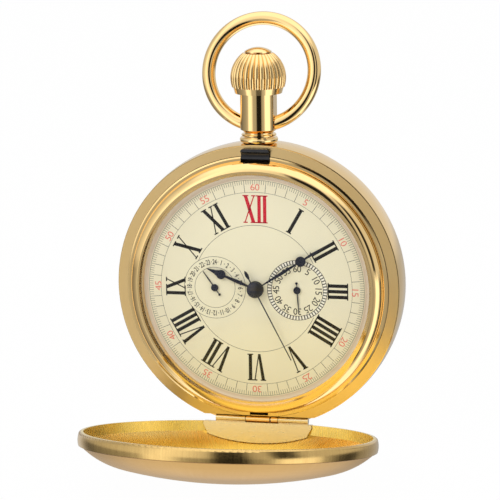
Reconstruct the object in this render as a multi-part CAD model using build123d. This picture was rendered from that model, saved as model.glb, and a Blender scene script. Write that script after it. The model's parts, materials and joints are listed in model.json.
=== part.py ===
from build123d import *
from math import acos, asin, atan2, copysign, cos, degrees, hypot, radians, sin, sqrt
import os

# Hunter-cased pocket watch with 24-hour and small-seconds subdials and a sweep seconds hand.
# Millimetres. +Z points to 12 o'clock, the dial faces -Y, and the origin is the middle of the
# flat on the back cover. The lid is modelled open, the bow tilted back.

# Planes along Y, back to front
back_to_stem = 6.4
stem_to_flange = 2.6
flange_to_dial = 0.9
dial_thickness = 0.4
stem_y = -back_to_stem
flange_y = stem_y - stem_to_flange
dial_y = flange_y - flange_to_dial
dial_back_y = dial_y + dial_thickness

# Fits
seat_gap = 0.02
running_gap = 0.05
slide_gap = 0.10

# Case band and back, measured in from the flange's edge or out from it
flange_radius = 23.5
flange_width = 1.6
band_overhang = 0.12
band_bulge = 0.16
band_step = 0.22
band_depth = 6.2
band_wall = 3.2
back_seat = 1.9
bore_depth = 3.3
rebate_depth = 0.8
back_shoulder = 9.0
back_swell = 1.0
back_wall = 1.0
back_rim_wall = 0.8
back_rim_depth = 1.0
rebate_radius = flange_radius - flange_width
band_radius = flange_radius + band_overhang
case_bore = flange_radius - band_wall
back_bore = flange_radius - back_seat
back_flat_radius = flange_radius - back_shoulder
band_back_y = flange_y + band_depth
band_outside = band_radius + band_bulge

# Bezel and crystal
lip_height = 0.25
lip_width = 0.65
bezel_height = 2.5
bezel_slope = 3.8
bezel_swell = 0.5
bezel_edge = 0.37
bezel_step = 0.1
crystal_edge = 0.5
crystal_bevel = 0.55
crystal_wall = 0.95
crystal_rise = 0.83
crystal_drop = 0.75
ledge_width = 0.4
bezel_top_radius = flange_radius - bezel_slope
crystal_radius = bezel_top_radius - bezel_edge

# Dial and subdials
dial_inset = 0.3
dial_radius = bezel_top_radius - dial_inset
subdial_offset = 6.9
foot_radius = 0.35
foot_reach = 0.5
foot_inset = 1.85
foot_angles = (135.0, -54.2)

# Lid
lid_overhang = 0.1
lid_wall = 0.75
lid_edge = 0.4
lid_lip_height = 2.1
lid_lip_swell = 0.12
lid_step = 0.35
lid_depth = 7.45
lid_shell = 0.6
lid_shoulder = 12.0
shoulder_lean = 45.0
lid_open = 80.1
lid_radius = flange_radius + lid_overhang
lid_rim_y = flange_y - running_gap

# Lid hinge, with the chords that it takes from the band and from the lid
hinge_width = 18.4
hinge_inset = 1.83
hinge_notch_depth = 1.65
hinge_setback = 0.45
knuckle_radius = 0.6
hinge_pin_radius = 0.3
knuckles = ((-7.3, -2.3), (3.3, 8.3))
middle_knuckles = ((-2.2, 1.8), (2.05, 3.2))
spring_slot_span = (-1.5, 1.6)
spring_slot_depth = 2.0
lug_gap_depth = 0.3
plate_inset = 2.7
plate_wall = 0.5
plate_tilt = 3.0
plate_taper = 0.55
plate_edge_gap = 0.15
foot_plate = 0.6
lid_notch_depth = 1.1
hinge_chord = flange_radius - hinge_inset
plate_chord = flange_radius - plate_inset
hinge_y = flange_y + hinge_setback
hinge_z = -(hinge_chord + slide_gap + knuckle_radius)

# Latch at 12 o'clock
window_width = 4.9
window_inset = 0.65
window_height = 1.95
window_corner = 0.45
window_depth = 1.2
catch_reach = 0.95
catch_hook = 0.38
catch_nose = 0.45
catch_travel = 0.4
window_top = flange_radius - window_inset
window_bottom = window_top - window_height

# Pendant, crown and bow; heights are above the band unless they say otherwise
pendant_radius = 3.08
pendant_flat = 2.75
pendant_bore = 0.72
pendant_top = band_outside + 9.22
pendant_shoulder = band_outside + 2.17
neck_radius = 2.35
neck_z = band_outside + 1.67
collars = ((1.42, 2.85, 0.35), (0.82, 3.12, 0.7))
spigot_radius = 1.3
spigot_bottom = band_outside - 2.03
crown_bottom = pendant_top - 1.15
crown_height = 6.5
crown_radius = 4.5
crown_foot_radius = 3.85
crown_belly = 0.47
crown_top_radius = 2.5
crown_ribs = 30
rib_phase = 8.8
rib_depth = 0.08
rib_start = 0.15
rib_levels = 7
crown_recess = 2.6
cap_radius = 2.2
cap_height = 0.95
crown_roof = 1.0
pull_travel = 1.0
press_travel = 0.8
bow_radius = 8.8
bow_wire = 1.1
bow_pivot_z = band_outside + 3.22
bow_tilt = 16.0
bow_pin_radius = 0.75
bow_pin_length = 1.2

# Movement layers along Y
plate_inside = 2.0
plate_radius = dial_radius - plate_inside
plate_rim = 1.0
plate_front_y = dial_back_y + 1.3
plate_back_y = plate_front_y + 1.2
bridge_front_y = plate_back_y + 2.6
bridge_back_y = bridge_front_y + 1.1
winding_y = bridge_back_y + running_gap
bridge_inset = 0.5
bridge_radius = plate_radius - bridge_inset
foot_ring = 1.8

# Winding work
stem_radius = 0.6
stem_bottom = 8.9
stem_top = crown_bottom + crown_height - crown_roof - press_travel - slide_gap
collar_radius = 1.3
collar_length = 0.8
pinion_radius = 1.85
pinion_length = 1.2
pinion_z = 10.3
barrel_teeth = 72
barrel_module = 0.18
barrel_direction = 150.7
centre_leaves = 12
ratchet_teeth = 50
crown_teeth = 30
winding_module = 0.204
winding_leaves = 18
crown_wheel_reach = 8.5
winding_thickness = 0.5
drum_wall = 0.35
arbor_radius = 0.9

# Going train: wheel teeth, pinion leaves, module
centre_teeth = 80
third_leaves = 10
centre_module = 0.12
third_teeth = 75
fourth_leaves = 10
third_module = 0.11
fourth_teeth = 80
escape_leaves = 8
fourth_module = 0.09
sweep_leaves = 10
wheel_thickness = 0.2
arbor_wire = 0.25
pivot_wire = 0.12
pivot_length = 0.5
escape_teeth = 15
escape_radius = 2.2
escape_angle = -60.0
lever_angle = -125.0
lever_length = 2.9
balance_distance = 3.6
balance_radius = 4.5
balance_rim = 0.55

# Motion work under the dial
cannon_leaves = 12
minute_teeth = 36
minute_leaves = 10
hour_teeth = 40
day_teeth = 80
sweep_wire = 0.15
centre_pipe = 0.36
cannon_pipe = 0.56
hour_pipe = 0.85

# Hands: length, blade level ahead of the dial, angle clockwise from 12
hour_hand = (8.8, 0.42, 291.8)
minute_hand = (13.4, 0.72, 57.0)
sweep_hand = (13.0, 1.02, 152.5)
day_hand = (3.3, 0.18, 324.4)
seconds_hand = (3.65, 0.18, 176.0)
hand_thickness = 0.12
hub_radius = 1.38
small_hub_radius = 0.6
small_arbor_reach = 0.2
hour_disc = 0.78
hour_disc_setback = 2.6
minute_disc = 0.84
minute_disc_setback = 4.3


def plane_at(y, x=0.0, z=0.0):
    return Plane(origin=(x, y, z), x_dir=(1, 0, 0), z_dir=(0, -1, 0))


def slab(sketch, front, back, at=(0.0, 0.0)):
    # A flat sketch (x to the right, y up the dial) given thickness between two planes.
    return extrude(plane_at(back, *at) * sketch, back - front)


def tube(outer, inner, front, back, at=(0.0, 0.0)):
    ring = Circle(outer) - Circle(inner) if inner else Circle(outer)
    return slab(ring, front, back, at)


def block(x, y, z):
    # A box from three (low, high) pairs.
    middle = [(low + high) / 2 for low, high in (x, y, z)]
    return Pos(*middle) * Box(*[high - low for low, high in (x, y, z)])


def profile(*steps):
    # Points are joined by straight lines; an arc among them is kept as it is.
    edges = []
    last = None
    for step in (*steps, steps[0]):
        arc = isinstance(step, Edge)
        start = step @ 0 if arc else Vector(*step)
        if last is not None and (start - last).length > 1e-6:
            edges.append(Line(last, start))
        if arc:
            edges.append(step)
        last = step @ 1 if arc else start
    return make_face(edges)


def dome_arc(edge, top):
    # From an edge point to the axis, round a centre on the axis.
    rise = top - edge[1]
    radius = (edge[0] ** 2 + rise**2) / (2 * abs(rise))
    half = asin(edge[0] / radius) / 2
    middle = (radius * sin(half), top - copysign(radius * (1 - cos(half)), rise))
    return ThreePointArc(edge, middle, (0, top))


def turned(face, at=(0.0, 0.0)):
    # A profile of (radius, y) turned about the hands' direction.
    return Pos(at[0], 0, at[1]) * revolve(face, Axis.Y, 360)


def upright(face):
    # A profile of (radius, z) turned about the stem.
    return Pos(0, stem_y, 0) * revolve(Plane.XZ * face, Axis.Z, 360)


def stem_rod(radius, bottom, top):
    return Pos(0, stem_y, (bottom + top) / 2) * Cylinder(radius, top - bottom)


def cross_rod(radius, x, y, z):
    # A rod along X between the two ends in x.
    return Pos((x[0] + x[1]) / 2, y, z) * Rot(0, 90, 0) * Cylinder(radius, x[1] - x[0])


def about_hinge(solid):
    # From the closed lid to the open one.
    return solid.rotate(Axis((0, hinge_y, hinge_z), (1, 0, 0)), lid_open)


def polar(radius, angle, at=(0.0, 0.0)):
    return (at[0] + radius * cos(radians(angle)), at[1] + radius * sin(radians(angle)))


def ring_span(inner, outer, start, end):
    # A flat ring sector between two angles, drawn with true arcs.
    middle = (start + end) / 2
    outside = ThreePointArc(polar(outer, start), polar(outer, middle), polar(outer, end))
    inside = ThreePointArc(polar(inner, end), polar(inner, middle), polar(inner, start))
    return profile(polar(inner, start), outside, inside)


def meeting(a, reach_a, b, reach_b, side):
    # The point at given distances from two centres, on one side of their line.
    span = hypot(b[0] - a[0], b[1] - a[1])
    along = (reach_a**2 - reach_b**2 + span**2) / (2 * span)
    off = side * sqrt(reach_a**2 - along**2)
    ux, uz = (b[0] - a[0]) / span, (b[1] - a[1]) / span
    return (a[0] + along * ux - off * uz, a[1] + along * uz + off * ux)


def gear(teeth, module, phase=0.0):
    # Straight-sided teeth with backlash on every flank.
    root = module * (teeth / 2 - 1.2)
    tip = module * (teeth / 2 + 0.95)
    points = []
    for k in range(teeth):
        for radius, share in ((root, -0.31), (tip, -0.1), (tip, 0.1), (root, 0.31)):
            points.append(polar(radius, phase + (k + share) * 360 / teeth))
    return make_face(Polyline(*points, close=True))


def meshed(phase, teeth, at, other_teeth, other_at):
    # Phase that sets the other gear's gap on this gear's tooth along their line of centres.
    toward = degrees(atan2(other_at[1] - at[1], other_at[0] - at[0]))
    ahead = (toward - phase) * teeth / 360 % 1
    return toward + 180 + (ahead + 0.5) * 360 / other_teeth


def spoked(face, rim, hub, spokes, width):
    # Windows between the spokes of a wheel.
    windows = Circle(rim) - Circle(hub)
    for k in range(spokes):
        windows -= Rot(0, 0, k * 360 / spokes) * Pos(rim / 2, 0) * Rectangle(rim + width, width)
    return face - windows


def spiral(inner, outer, turns, width, front, back, at):
    # A flat coil of ribbon.
    steps = int(turns * 20)
    points = []
    for side in (-0.5, 0.5):
        row = []
        for k in range(steps + 1):
            radius = inner + (outer - inner) * k / steps + side * width
            row.append(polar(radius, 360 * turns * k / steps))
        points += row if side < 0 else row[::-1]
    return slab(make_face(Polyline(*points, close=True)), front, back, at)


def screw(at, head, shank, seat_y, head_height, length):
    # Slotted cheese-head screw, its head towards the back.
    body = tube(head, 0, seat_y, seat_y + head_height, at)
    body += tube(shank, 0, seat_y - length, seat_y, at)
    slot = block((-head, head), (seat_y + head_height / 2, seat_y + head_height + 1), (-0.11, 0.11))
    return body - Pos(at[0], 0, at[1]) * slot


# Centres on the movement, (x, z)
feet = [polar(plate_radius - foot_inset, angle) for angle in foot_angles]
centre_at = (0.0, 0.0)
fourth_at = (subdial_offset, 0.0)
day_at = (-subdial_offset, 0.0)
third_distance = centre_module * (centre_teeth + third_leaves) / 2
fourth_distance = third_module * (third_teeth + fourth_leaves) / 2
third_at = meeting(centre_at, third_distance, fourth_at, fourth_distance, 1)
barrel_distance = barrel_module * (barrel_teeth + centre_leaves) / 2
barrel_at = polar(barrel_distance, barrel_direction)
crown_wheel_at = meeting(
    barrel_at, winding_module * (ratchet_teeth + crown_teeth) / 2, centre_at, crown_wheel_reach, 1)
escape_at = polar(fourth_module * (fourth_teeth + escape_leaves) / 2, escape_angle, fourth_at)
lever_at = polar(lever_length, lever_angle, escape_at)
balance_at = polar(balance_distance, lever_angle, lever_at)
day_module = (subdial_offset + 0.1) / ((minute_leaves + hour_teeth) / 2 + (minute_leaves + day_teeth) / 2)
minute_reach = day_module * (minute_leaves + hour_teeth) / 2
minute_at = meeting(centre_at, minute_reach, day_at, day_module * (minute_leaves + day_teeth) / 2, -1)
cannon_module = 2 * minute_reach / (cannon_leaves + minute_teeth)
sweep_module = 2 * third_distance / (third_teeth + sweep_leaves)

# Levels of the train, front to back
centre_wheel_y = plate_back_y + 0.25
barrel_teeth_y = plate_back_y + 0.6
third_wheel_y = plate_back_y + 1.05
fourth_wheel_y = plate_back_y + 1.5
escape_wheel_y = plate_back_y + 0.4
balance_y = plate_back_y + 1.65
sweep_wheel_y = winding_y + winding_thickness + 0.15
hour_wheel_y = dial_back_y + 0.2
minute_wheel_y = dial_back_y + 0.75

parts = {}


# Case band: flange ring, rounded side, rebate for the bezel, bores for movement and back
band = turned(profile(
    (rebate_radius, flange_y), (flange_radius, flange_y), (flange_radius, flange_y + band_step),
    SagittaArc((band_radius, flange_y + band_step), (band_radius, band_back_y), -band_bulge),
    (back_bore, band_back_y), (back_bore, flange_y + bore_depth), (case_bore, flange_y + bore_depth),
    (case_bore, flange_y + rebate_depth), (rebate_radius, flange_y + rebate_depth),
))
hinge_notch = block(
    (-hinge_width / 2, hinge_width / 2),
    (flange_y - bezel_height, flange_y + hinge_notch_depth),
    (-band_outside - 1, -hinge_chord),
)
window_middle = (window_bottom + window_top) / 2
window_face = Rectangle(window_width, window_height)
latch_window = slab(window_face, flange_y - bezel_height, flange_y + window_depth, (0, window_middle))
latch_window = fillet(latch_window.edges().filter_by(Axis.Y).group_by(Axis.Z)[-1], window_corner)
plate_clearance = plate_chord - slide_gap
spring_slot = block(
    spring_slot_span, (flange_y - 1, flange_y + spring_slot_depth), (-hinge_chord - 1, -plate_clearance))
band -= hinge_notch + latch_window + spring_slot
band -= stem_rod(spigot_radius + seat_gap, spigot_bottom - slide_gap, band_outside + 1)
band -= stem_rod(pendant_bore, case_bore - 1, spigot_bottom)
parts["case_band"] = band

# Case half of the hinge: two knuckles on a block soldered into the notch
lug = block(
    (middle_knuckles[0][0], middle_knuckles[-1][1]),
    (hinge_y, flange_y + hinge_notch_depth - seat_gap),
    (hinge_z - knuckle_radius, -hinge_chord - seat_gap),
)
gap_low, gap_high = middle_knuckles[0][1], middle_knuckles[1][0]
lug -= block((gap_low, gap_high), (hinge_y - 1, hinge_y + lug_gap_depth), (hinge_z - 1, hinge_z + 1))
for ends in middle_knuckles:
    lug += cross_rod(knuckle_radius, ends, hinge_y, hinge_z)
lug -= cross_rod(hinge_pin_radius + seat_gap, (-hinge_width, hinge_width), hinge_y, hinge_z)
parts["hinge_lug"] = lug

# Bezel: stepped lip over the rebate, swelling side, ledge that holds crystal and dial
bezel_top_y = flange_y - bezel_height
seat_y = flange_y - bezel_height + crystal_drop
bezel_rim_radius = rebate_radius - running_gap
bezel = turned(profile(
    (dial_radius + slide_gap, flange_y + rebate_depth - seat_gap),
    (bezel_rim_radius, flange_y + rebate_depth - seat_gap),
    (bezel_rim_radius, flange_y - lip_height),
    (bezel_rim_radius - 0.25, flange_y - lip_height - bezel_step),
    (bezel_rim_radius - lip_width, flange_y - lip_height - bezel_step),
    SagittaArc((bezel_rim_radius - lip_width - bezel_step, flange_y - lip_height - bezel_step / 2),
               (bezel_top_radius, bezel_top_y), bezel_swell),
    (crystal_radius + running_gap, bezel_top_y),
    (crystal_radius + running_gap, seat_y),
    (crystal_radius - ledge_width, seat_y),
    (crystal_radius - ledge_width, dial_y - seat_gap),
    (dial_radius + slide_gap, dial_y - seat_gap),
))
plate_seat = Pos(0, lid_rim_y, -plate_chord) * Rot(-plate_tilt, 0, 0)
facet = Pos(0, 0, slide_gap) * plate_seat * block(
    (-flange_radius, flange_radius), (-bezel_height - 1, 1), (-flange_radius, 0))
facet -= block((-flange_radius, flange_radius), (flange_y, flange_y + 2), (-2 * flange_radius, 0))
bezel -= hinge_notch + latch_window + spring_slot + facet
parts["bezel"] = bezel

# Crystal: domed glass with a bevelled edge
glass_back = seat_y - seat_gap
glass_inside = turned(profile(
    (0, glass_back), (crystal_radius - 0.6, glass_back),
    dome_arc((crystal_radius - 0.6, glass_back), glass_back - crystal_rise),
))
parts["crystal"] = turned(profile(
    (0, glass_back), (crystal_radius, glass_back),
    (crystal_radius, glass_back - crystal_edge),
    dome_arc((crystal_radius - crystal_bevel, glass_back - crystal_wall),
             glass_back - crystal_rise - crystal_wall),
)) - glass_inside

# Back cover: flat centre, rounded shoulder, snap rim inside the band
rim_outer = back_bore - slide_gap
rim_inner = rim_outer - back_rim_wall
parts["case_back"] = turned(profile(
    (0, 0), (back_flat_radius, 0),
    SagittaArc((back_flat_radius, 0), (band_radius - 0.1, band_back_y + seat_gap), back_swell),
    (rim_outer, band_back_y + seat_gap), (rim_outer, band_back_y - back_rim_depth),
    (rim_inner, band_back_y - back_rim_depth), (rim_inner, band_back_y + back_wall / 2),
    (back_flat_radius, -back_wall), (0, -back_wall),
))

# Pendant: tube on collars, flats and holes for the bow, spigot screwed into the band
collar_points = []
for above, radius, height in collars:
    z = band_outside + above
    collar_points += [
        (neck_radius, z), (radius - 0.12, z), (radius, z - height / 3), (radius, z - 2 * height / 3),
        (radius - 0.12, z - height), (neck_radius, z - height),
    ]
saddle = band_outside - 0.45
pendant = upright(profile(
    (pendant_bore, pendant_top), (pendant_radius, pendant_top), (pendant_radius, pendant_shoulder),
    (neck_radius, neck_z), *collar_points,
    (pendant_radius - 0.2, saddle), (spigot_radius, saddle), (spigot_radius, spigot_bottom),
    (pendant_bore, spigot_bottom),
))
pendant -= tube(band_outside + seat_gap, 0, stem_y - 5, stem_y + 5) & block(
    (-5, 5), (stem_y - 5, stem_y + 5), (saddle - 1, band_outside + 1)) - stem_rod(
    spigot_radius, saddle - 2, band_outside + 2)
for side in (-1, 1):
    flat = block((pendant_flat, pendant_flat + 2), (stem_y - 4, stem_y + 4), (neck_z, pendant_top + 1))
    hole = cross_rod(bow_pin_radius + running_gap,
                     (pendant_flat - bow_pin_length - slide_gap, pendant_flat + 1), stem_y, bow_pivot_z)
    pendant -= (flat + hole) if side > 0 else mirror(flat + hole, Plane.YZ)
parts["pendant"] = pendant

# Bow: round wire bent to a ring whose ends turn into the pendant
bow_end_x = pendant_flat + slide_gap
bow_rise = sqrt(bow_radius**2 - bow_end_x**2)
half_gap = degrees(asin(bow_end_x / bow_radius))
bow_arc = CenterArc((0, bow_rise), bow_radius, -90 + half_gap - 8, 360 - 2 * half_gap + 16)
wire_end = Plane(origin=bow_arc @ 0, z_dir=bow_arc % 0)
bow = sweep(wire_end * Circle(bow_wire), path=bow_arc)
bow -= Box(2 * bow_end_x, 4 * bow_wire, 8 * bow_wire)
for ends in ((-bow_end_x - bow_wire, -pendant_flat + bow_pin_length),
             (pendant_flat - bow_pin_length, bow_end_x + bow_wire)):
    bow += Pos((ends[0] + ends[1]) / 2, 0, 0) * Rot(0, 90, 0) * Cylinder(bow_pin_radius, ends[1] - ends[0])
parts["bow"] = Pos(0, stem_y, bow_pivot_z) * Rot(90 - bow_tilt, 0, 0) * bow

# Crown: a smooth foot, an onion of rounded ribs above it, and a recess that rides over the pendant
crown_top = crown_bottom + crown_height
crown_middle = crown_bottom + crown_height * crown_belly
crown_side = ThreePointArc((crown_foot_radius, crown_bottom), (crown_radius, crown_middle),
                           (crown_top_radius, crown_top))


def ribbed(radius, z):
    # One level of the onion: an arc for each rib, meeting in sharp valleys.
    valley = radius * (1 - rib_depth)
    step = 360 / crown_ribs
    arcs = []
    for k in range(crown_ribs):
        start = rib_phase + k * step
        peak = polar(radius, start + step / 2)
        arcs.append(ThreePointArc(polar(valley, start), peak, polar(valley, start + step)))
    return Pos(0, stem_y, z) * make_face(arcs)


recess = pendant_radius + slide_gap
rib_places = [crown_side @ (rib_start + (1 - rib_start) * k / rib_levels) for k in range(rib_levels + 1)]
foot_top = rib_places[0]
crown = loft([ribbed(place.X, place.Y) for place in rib_places])
crown += upright(profile((0, crown_bottom), (crown_foot_radius, crown_bottom),
                         (foot_top.X * (1 - rib_depth / 2), foot_top.Y), (0, foot_top.Y)))
crown -= stem_rod(recess, crown_bottom - 1, crown_bottom + crown_recess)
crown -= stem_rod(stem_radius + running_gap, crown_bottom, crown_top - crown_roof)
parts["crown"] = crown

# Cap: small dome on a ring, closing the top of the crown
parts["crown_cap"] = upright(profile(
    (0, crown_top + seat_gap), (cap_radius - 0.15, crown_top + seat_gap),
    (cap_radius, crown_top + 0.12), (cap_radius, crown_top + 0.3), (cap_radius - 0.1, crown_top + 0.35),
    dome_arc((cap_radius - 0.1, crown_top + 0.35), crown_top + cap_height),
))

# Winding stem, its loose pinion and the collar that stops it being pulled out
parts["winding_stem"] = stem_rod(stem_radius, stem_bottom, stem_top) + stem_rod(
    stem_radius * 0.7, stem_bottom - 0.6, stem_bottom)


def leaved(radius, leaves, bottom, top):
    # A pinion on the stem with straight leaves.
    face = gear(leaves, 2 * radius / (leaves + 1.9))
    body = extrude(Plane.XY * face, top - bottom) - Cylinder(
        stem_radius + running_gap, 2 * (top - bottom), align=(Align.CENTER, Align.CENTER, Align.CENTER))
    return Pos(0, stem_y, bottom) * body


parts["winding_pinion"] = leaved(pinion_radius, winding_leaves, pinion_z, pinion_z + pinion_length)
collar_low = pinion_z + pinion_length + slide_gap
collar_high = collar_low + collar_length
keyless_top = collar_high + pull_travel + slide_gap
keyless_half = pinion_radius + slide_gap
parts["stem_collar"] = stem_rod(collar_radius, collar_low, collar_high) - stem_rod(
    stem_radius + seat_gap, collar_low - 1, collar_high + 1)

# Latch: a hook in the window at 12 that holds the closed lid by a lip at its edge
bowl_radius = lid_radius - lid_wall
lip_clear = sqrt(bowl_radius**2 - (window_width / 2) ** 2)
catch_neck = lip_clear - slide_gap
catch_low = window_bottom + catch_travel + slide_gap
catch_front = flange_y - catch_reach
hook_back = catch_front + catch_nose
hook_top = lip_clear + catch_hook
catch_plane = Plane(origin=(0, 0, 0), x_dir=(0, 1, 0), z_dir=(1, 0, 0))
catch_face = profile(
    (flange_y + window_depth - running_gap, catch_low),
    (catch_front + catch_nose, catch_low),
    SagittaArc((catch_front + catch_nose, catch_low), (catch_front, catch_neck), -0.3),
    (catch_front + 0.1, hook_top), (hook_back - 0.1, hook_top), (hook_back, catch_neck),
    (flange_y + window_depth - running_gap, catch_neck),
)
catch_width = window_width - 2 * slide_gap
catch = extrude(catch_plane * catch_face, catch_width / 2, both=True)
catch_outline = slab(RectangleRounded(catch_width, 2 * (hook_top - catch_low), window_corner),
                     catch_front - 1, flange_y + window_depth, (0, catch_low))
parts["lid_catch"] = catch & catch_outline

# Lid, drawn closed and then swung open
lid_top_y = lid_rim_y - lid_depth
shoulder_y = lid_rim_y - lid_lip_height - 0.05
shoulder_start = lid_radius - lid_step
shoulder_x = shoulder_start - lid_shoulder * cos(radians(shoulder_lean))
shoulder_back = shoulder_y + lid_shoulder * sin(radians(shoulder_lean)) - lid_top_y
crown_reach = (shoulder_x**2 + shoulder_back**2 - lid_shoulder**2) / (2 * (shoulder_back - lid_shoulder))
crown_turn = degrees(atan2(crown_reach - shoulder_back, shoulder_x))


def dome_outline(inset, edge):
    # From a radius on the lid's shoulder to the middle of its crown, two tangent arcs.
    reach = lid_shoulder - inset
    first = degrees(acos((edge - shoulder_x) / reach))
    centre_at_shoulder = (shoulder_x, lid_top_y + shoulder_back)
    turns = (first, (first + crown_turn) / 2, crown_turn)
    places = [polar(reach, -turn, centre_at_shoulder) for turn in turns]
    return ThreePointArc(*places), dome_arc(places[-1], lid_top_y + inset)


rounded_edge = SagittaArc(
    (lid_radius - lid_edge, lid_rim_y), (lid_radius, lid_rim_y - lid_edge), lid_edge * 0.29)
outer_lip = SagittaArc(
    (lid_radius, lid_rim_y - lid_edge), (lid_radius, lid_rim_y - lid_lip_height), lid_lip_swell)
envelope = turned(profile((0, lid_rim_y), rounded_edge, outer_lip, *dome_outline(0, shoulder_start)))
hollow = turned(profile((0, lid_rim_y), (bowl_radius, lid_rim_y), *dome_outline(lid_shell, bowl_radius)))
lid_notch = block((-hinge_width / 2, hinge_width / 2), (lid_rim_y - lid_notch_depth, lid_rim_y + 1),
                  (-2 * lid_radius, -plate_chord - plate_wall))
catch_groove = block((-window_width / 2, window_width / 2), (catch_front - slide_gap, hook_back + slide_gap),
                     (window_bottom, hook_top + slide_gap))
lid = envelope - hollow - lid_notch - catch_groove

# Plate that closes the lid's chord at the hinge, with its knuckles
half_chord = sqrt(bowl_radius**2 - plate_chord**2)
plate_outline = make_face(Polyline(
    (-half_chord, 0), (half_chord, 0), (half_chord - lid_depth * plate_taper, -lid_depth),
    (plate_taper * lid_depth - half_chord, -lid_depth), close=True))
front_layer = plate_seat * extrude(plate_outline, -plate_edge_gap)
back_layer = plate_seat * Pos(0, 0, -plate_edge_gap) * extrude(plate_outline, plate_edge_gap - plate_wall)
plate = (front_layer & (Pos(0, plate_edge_gap, plate_edge_gap) * hollow)) + (back_layer & hollow)
plate_foot = block((-hinge_width / 2 + slide_gap, hinge_width / 2 - slide_gap),
                   (lid_rim_y - foot_plate, lid_rim_y), (hinge_z + slide_gap, -plate_chord - plate_edge_gap))
plate += plate_foot - lid
for ends in knuckles:
    plate += cross_rod(knuckle_radius, ends, hinge_y, hinge_z)
    plate += block(ends, (lid_rim_y - foot_plate, hinge_y), (hinge_z, hinge_z + knuckle_radius * 0.7))
plate -= cross_rod(hinge_pin_radius + seat_gap, (-hinge_width, hinge_width), hinge_y, hinge_z)
plate -= cross_rod(knuckle_radius + slide_gap, (knuckles[0][1], knuckles[1][0]), hinge_y, hinge_z)
parts["lid_shell"] = about_hinge(lid)
parts["lid_hinge_plate"] = about_hinge(plate)
parts["hinge_pin"] = cross_rod(hinge_pin_radius, (knuckles[0][0], knuckles[-1][1]), hinge_y, hinge_z)

# Lid lift spring: a leaf along the inside of the band
parts["lid_spring"] = slab(
    ring_span(back_bore - 0.7, back_bore - 0.35, 200, 262) + Pos(*polar(back_bore - 0.6, 203)) * Circle(0.5),
    flange_y + bore_depth + running_gap, flange_y + bore_depth + 1.3)

# Dial with its feet
dial = tube(dial_radius, 0, dial_y, dial_back_y)
dial -= tube(hour_pipe + slide_gap, 0, dial_y - 1, dial_back_y + 1)
for at in (fourth_at, day_at):
    dial -= tube(arbor_wire + slide_gap, 0, dial_y - 1, dial_back_y + 1, at)
for at in feet:
    dial += tube(foot_radius, 0, dial_back_y, plate_front_y + foot_reach, at)
parts["dial"] = dial

# Ring that centres the movement in the case
ring = turned(profile(
    (plate_radius + running_gap, dial_back_y + seat_gap), (dial_radius, dial_back_y + seat_gap),
    (dial_radius, flange_y + rebate_depth), (case_bore - running_gap, flange_y + rebate_depth),
    (case_bore - running_gap, flange_y + bore_depth - running_gap),
    (plate_radius + running_gap, flange_y + bore_depth - running_gap),
))
ring -= stem_rod(stem_radius + slide_gap, plate_radius - 1, case_bore + 1)
ring_back_y = flange_y + bore_depth - running_gap
case_screws = []
for angle in (40, 160, 285):
    at = polar((plate_radius + case_bore) / 2, angle)
    ring -= tube(0.5 + seat_gap, 0, ring_back_y - 1.5, ring_back_y + 1, at)
    case_screws.append(screw(at, 1.0, 0.5, ring_back_y + seat_gap, 0.5, 1.2))
parts["casing_ring"] = ring
parts["case_screws"] = Compound(children=case_screws)

# Mainplate: disc with a rim under the dial, posts, pivot holes and the keyless slot
mainplate = tube(plate_radius, 0, plate_front_y, plate_back_y)
mainplate += tube(plate_radius, plate_radius - plate_rim, dial_back_y + seat_gap, plate_front_y)
mainplate += tube(arbor_wire, 0, minute_wheel_y - 0.6, plate_front_y, minute_at)
for at in feet:
    mainplate -= tube(
        foot_radius + seat_gap, 0, plate_front_y - 1, plate_front_y + foot_reach + slide_gap, at)
mainplate -= tube(centre_pipe + running_gap, 0, plate_front_y - 1, plate_back_y + 1)
mainplate -= tube(arbor_wire + running_gap, 0, plate_front_y - 1, plate_back_y + 1, fourth_at)
mainplate -= tube(arbor_wire + running_gap, 0, plate_front_y - 1, plate_back_y - 0.3, day_at)
for at in (third_at, escape_at, lever_at, balance_at):
    mainplate -= tube(
        pivot_wire + running_gap, 0, plate_back_y - pivot_length - slide_gap, plate_back_y + 1, at)
mainplate -= tube(arbor_radius * 0.6 + running_gap, 0, plate_back_y - 0.8, plate_back_y + 1, barrel_at)
mainplate -= block((-keyless_half, keyless_half), (plate_front_y - 0.2, plate_back_y + 1),
                   (stem_bottom - 1.2, keyless_top))
mainplate -= stem_rod(stem_radius + slide_gap, stem_bottom - 1.2, plate_radius + 1)
parts["mainplate"] = mainplate

# Bridges: plates over the train with feet along the rim
split = 0.15
bridge_split_x = 4.35
barrel_side_low = -3.2
train_side_low = -5.4
barrel_edge = bridge_split_x - split
train_edge = bridge_split_x + split
barrel_side = make_face(Polyline(
    (-20, barrel_side_low), (-1.3, barrel_side_low), (-1.3, 4.2), (barrel_edge, 8.9), (barrel_edge, 20),
    (-20, 20), close=True))
train_side = make_face(Polyline(
    (-1.0, -2.6), (-1.0, 4.06), (train_edge, 8.76), (train_edge, 20), (20, 20), (20, train_side_low),
    (10.4, train_side_low), (5.4, -2.6), close=True))
cock_angle = degrees(atan2(balance_at[1], balance_at[0]))
cock_span = hypot(*balance_at)
cock_side = (Rot(0, 0, cock_angle) * Pos((cock_span + bridge_radius) / 2, 0)
             * Rectangle(bridge_radius - cock_span, 4.2)) + Pos(*balance_at) * Circle(2.1)
bridge_disc = Circle(bridge_radius)
rim_disc = bridge_disc - Circle(bridge_radius - foot_ring)


def bridge(outline):
    top = slab(outline & bridge_disc, bridge_front_y, bridge_back_y)
    return top + slab(outline & rim_disc, plate_back_y + seat_gap, bridge_front_y)


barrel_bridge = bridge(barrel_side)
train_bridge = bridge(train_side)
balance_cock = bridge(cock_side)
jewels = []
jewel_radius, jewel_height = 0.55, 0.4


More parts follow.
